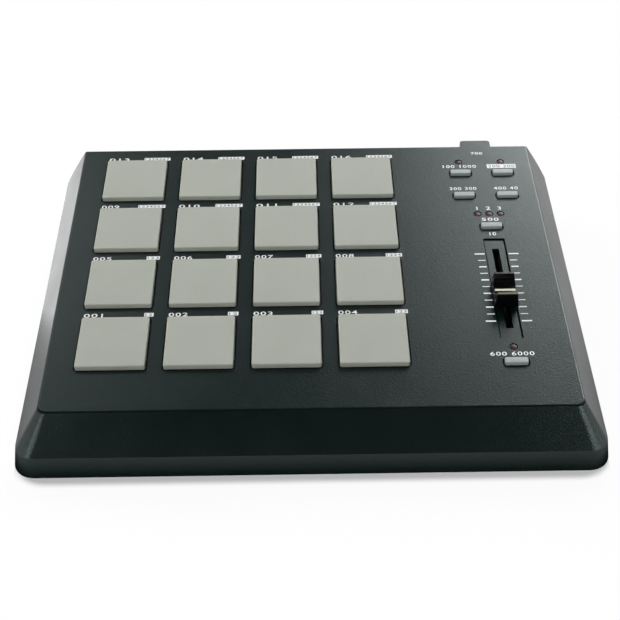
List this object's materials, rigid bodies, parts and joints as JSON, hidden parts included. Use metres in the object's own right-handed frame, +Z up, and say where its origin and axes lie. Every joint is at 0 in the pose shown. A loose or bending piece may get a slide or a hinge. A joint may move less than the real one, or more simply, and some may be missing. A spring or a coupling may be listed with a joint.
{
  "type": "midi pad controller",
  "caption": "Low wedge-shaped desktop controller with a grid of square pressure pads, a short fader, small push buttons, lamps and a rear USB socket.",
  "frame": {"origin": "on the floor, under the middle of the outline with the rear hump", "axes": "+X to the right along the case's width, +Y to the rear, +Z up"},
  "size_m": [0.2554, 0.1956, 0.0434],
  "materials": {
    "case_plastic": "fine textured",
    "cover_plastic": "fine textured",
    "foot_rubber": "matte",
    "screw_steel": "plated",
    "mat_rubber": "matte",
    "sensor_film": "smooth",
    "circuit_board": "lacquered",
    "chip_plastic": "matte",
    "lamp_lens": "clear red",
    "socket_steel": "plated",
    "fader_steel": "blackened",
    "track_phenolic": "smooth",
    "socket_plastic": "smooth",
    "contact_brass": "polished",
    "ribbon_plastic": "smooth",
    "pad_rubber": "matte",
    "button_rubber": "matte",
    "cap_plastic": "satin"
  },
  "bodies": {
    "case": {"top_housing": "case_plastic", "bottom_cover": "cover_plastic", "rubber_feet": "foot_rubber", "case_screws": "screw_steel", "pad_mat": "mat_rubber", "sensor_film": "sensor_film", "sensor_board": "circuit_board", "sensor_board_screws": "screw_steel", "multiplexer_chips": "chip_plastic", "switch_bodies": "chip_plastic", "led_lenses": "lamp_lens", "led_leads": "screw_steel", "fader_case": "fader_steel", "fader_track": "track_phenolic", "control_board": "circuit_board", "control_board_screws": "screw_steel", "processor_chip": "chip_plastic", "usb_shell": "socket_steel", "usb_insulator": "socket_plastic", "usb_contacts": "contact_brass", "ribbon_cable": "ribbon_plastic", "ribbon_sockets": "socket_plastic"},
    "pad_1": {"pad_1": "pad_rubber"},
    "pad_2": {"pad_2": "pad_rubber"},
    "pad_3": {"pad_3": "pad_rubber"},
    "pad_4": {"pad_4": "pad_rubber"},
    "pad_5": {"pad_5": "pad_rubber"},
    "pad_6": {"pad_6": "pad_rubber"},
    "pad_7": {"pad_7": "pad_rubber"},
    "pad_8": {"pad_8": "pad_rubber"},
    "pad_9": {"pad_9": "pad_rubber"},
    "pad_10": {"pad_10": "pad_rubber"},
    "pad_11": {"pad_11": "pad_rubber"},
    "pad_12": {"pad_12": "pad_rubber"},
    "pad_13": {"pad_13": "pad_rubber"},
    "pad_14": {"pad_14": "pad_rubber"},
    "pad_15": {"pad_15": "pad_rubber"},
    "pad_16": {"pad_16": "pad_rubber"},
    "upper_left_key": {"upper_left_button": "button_rubber", "upper_left_plunger": "chip_plastic"},
    "upper_right_key": {"upper_right_button": "button_rubber", "upper_right_plunger": "chip_plastic"},
    "middle_left_key": {"middle_left_button": "button_rubber", "middle_left_plunger": "chip_plastic"},
    "middle_right_key": {"middle_right_button": "button_rubber", "middle_right_plunger": "chip_plastic"},
    "bank_key": {"bank_button": "button_rubber", "bank_plunger": "chip_plastic"},
    "lower_key": {"lower_button": "button_rubber", "lower_plunger": "chip_plastic"},
    "fader": {"fader_carriage": "socket_plastic", "fader_lever": "socket_steel", "fader_cap": "cap_plastic"}
  },
  "joints": [
    {"name": "pad_1_press", "type": "slide", "parent": "case", "child": "pad_1", "axis": [0, 0.0698, -0.9976], "range_m": [0, 0.0009], "stiffness_N_per_m": 4000},
    {"name": "pad_2_press", "type": "slide", "parent": "case", "child": "pad_2", "axis": [0, 0.0698, -0.9976], "range_m": [0, 0.0009], "stiffness_N_per_m": 4000},
    {"name": "pad_3_press", "type": "slide", "parent": "case", "child": "pad_3", "axis": [0, 0.0698, -0.9976], "range_m": [0, 0.0009], "stiffness_N_per_m": 4000},
    {"name": "pad_4_press", "type": "slide", "parent": "case", "child": "pad_4", "axis": [0, 0.0698, -0.9976], "range_m": [0, 0.0009], "stiffness_N_per_m": 4000},
    {"name": "pad_5_press", "type": "slide", "parent": "case", "child": "pad_5", "axis": [0, 0.0698, -0.9976], "range_m": [0, 0.0009], "stiffness_N_per_m": 4000},
    {"name": "pad_6_press", "type": "slide", "parent": "case", "child": "pad_6", "axis": [0, 0.0698, -0.9976], "range_m": [0, 0.0009], "stiffness_N_per_m": 4000},
    {"name": "pad_7_press", "type": "slide", "parent": "case", "child": "pad_7", "axis": [0, 0.0698, -0.9976], "range_m": [0, 0.0009], "stiffness_N_per_m": 4000},
    {"name": "pad_8_press", "type": "slide", "parent": "case", "child": "pad_8", "axis": [0, 0.0698, -0.9976], "range_m": [0, 0.0009], "stiffness_N_per_m": 4000},
    {"name": "pad_9_press", "type": "slide", "parent": "case", "child": "pad_9", "axis": [0, 0.0698, -0.9976], "range_m": [0, 0.0009], "stiffness_N_per_m": 4000},
    {"name": "pad_10_press", "type": "slide", "parent": "case", "child": "pad_10", "axis": [0, 0.0698, -0.9976], "range_m": [0, 0.0009], "stiffness_N_per_m": 4000},
    {"name": "pad_11_press", "type": "slide", "parent": "case", "child": "pad_11", "axis": [0, 0.0698, -0.9976], "range_m": [0, 0.0009], "stiffness_N_per_m": 4000},
    {"name": "pad_12_press", "type": "slide", "parent": "case", "child": "pad_12", "axis": [0, 0.0698, -0.9976], "range_m": [0, 0.0009], "stiffness_N_per_m": 4000},
    {"name": "pad_13_press", "type": "slide", "parent": "case", "child": "pad_13", "axis": [0, 0.0698, -0.9976], "range_m": [0, 0.0009], "stiffness_N_per_m": 4000},
    {"name": "pad_14_press", "type": "slide", "parent": "case", "child": "pad_14", "axis": [0, 0.0698, -0.9976], "range_m": [0, 0.0009], "stiffness_N_per_m": 4000},
    {"name": "pad_15_press", "type": "slide", "parent": "case", "child": "pad_15", "axis": [0, 0.0698, -0.9976], "range_m": [0, 0.0009], "stiffness_N_per_m": 4000},
    {"name": "pad_16_press", "type": "slide", "parent": "case", "child": "pad_16", "axis": [0, 0.0698, -0.9976], "range_m": [0, 0.0009], "stiffness_N_per_m": 4000},
    {"name": "upper_left_press", "type": "slide", "parent": "case", "child": "upper_left_key", "axis": [0, 0.0698, -0.9976], "range_m": [0, 0.0005], "stiffness_N_per_m": 1500},
    {"name": "upper_right_press", "type": "slide", "parent": "case", "child": "upper_right_key", "axis": [0, 0.0698, -0.9976], "range_m": [0, 0.0005], "stiffness_N_per_m": 1500},
    {"name": "middle_left_press", "type": "slide", "parent": "case", "child": "middle_left_key", "axis": [0, 0.0698, -0.9976], "range_m": [0, 0.0005], "stiffness_N_per_m": 1500},
    {"name": "middle_right_press", "type": "slide", "parent": "case", "child": "middle_right_key", "axis": [0, 0.0698, -0.9976], "range_m": [0, 0.0005], "stiffness_N_per_m": 1500},
    {"name": "bank_press", "type": "slide", "parent": "case", "child": "bank_key", "axis": [0, 0.0698, -0.9976], "range_m": [0, 0.0005], "stiffness_N_per_m": 1500},
    {"name": "lower_press", "type": "slide", "parent": "case", "child": "lower_key", "axis": [0, 0.0698, -0.9976], "range_m": [0, 0.0005], "stiffness_N_per_m": 1500},
    {"name": "fader_slide", "type": "slide", "parent": "case", "child": "fader", "axis": [0, 0.9976, 0.0698], "range_m": [-0.0165, 0.0285]}
  ]
}
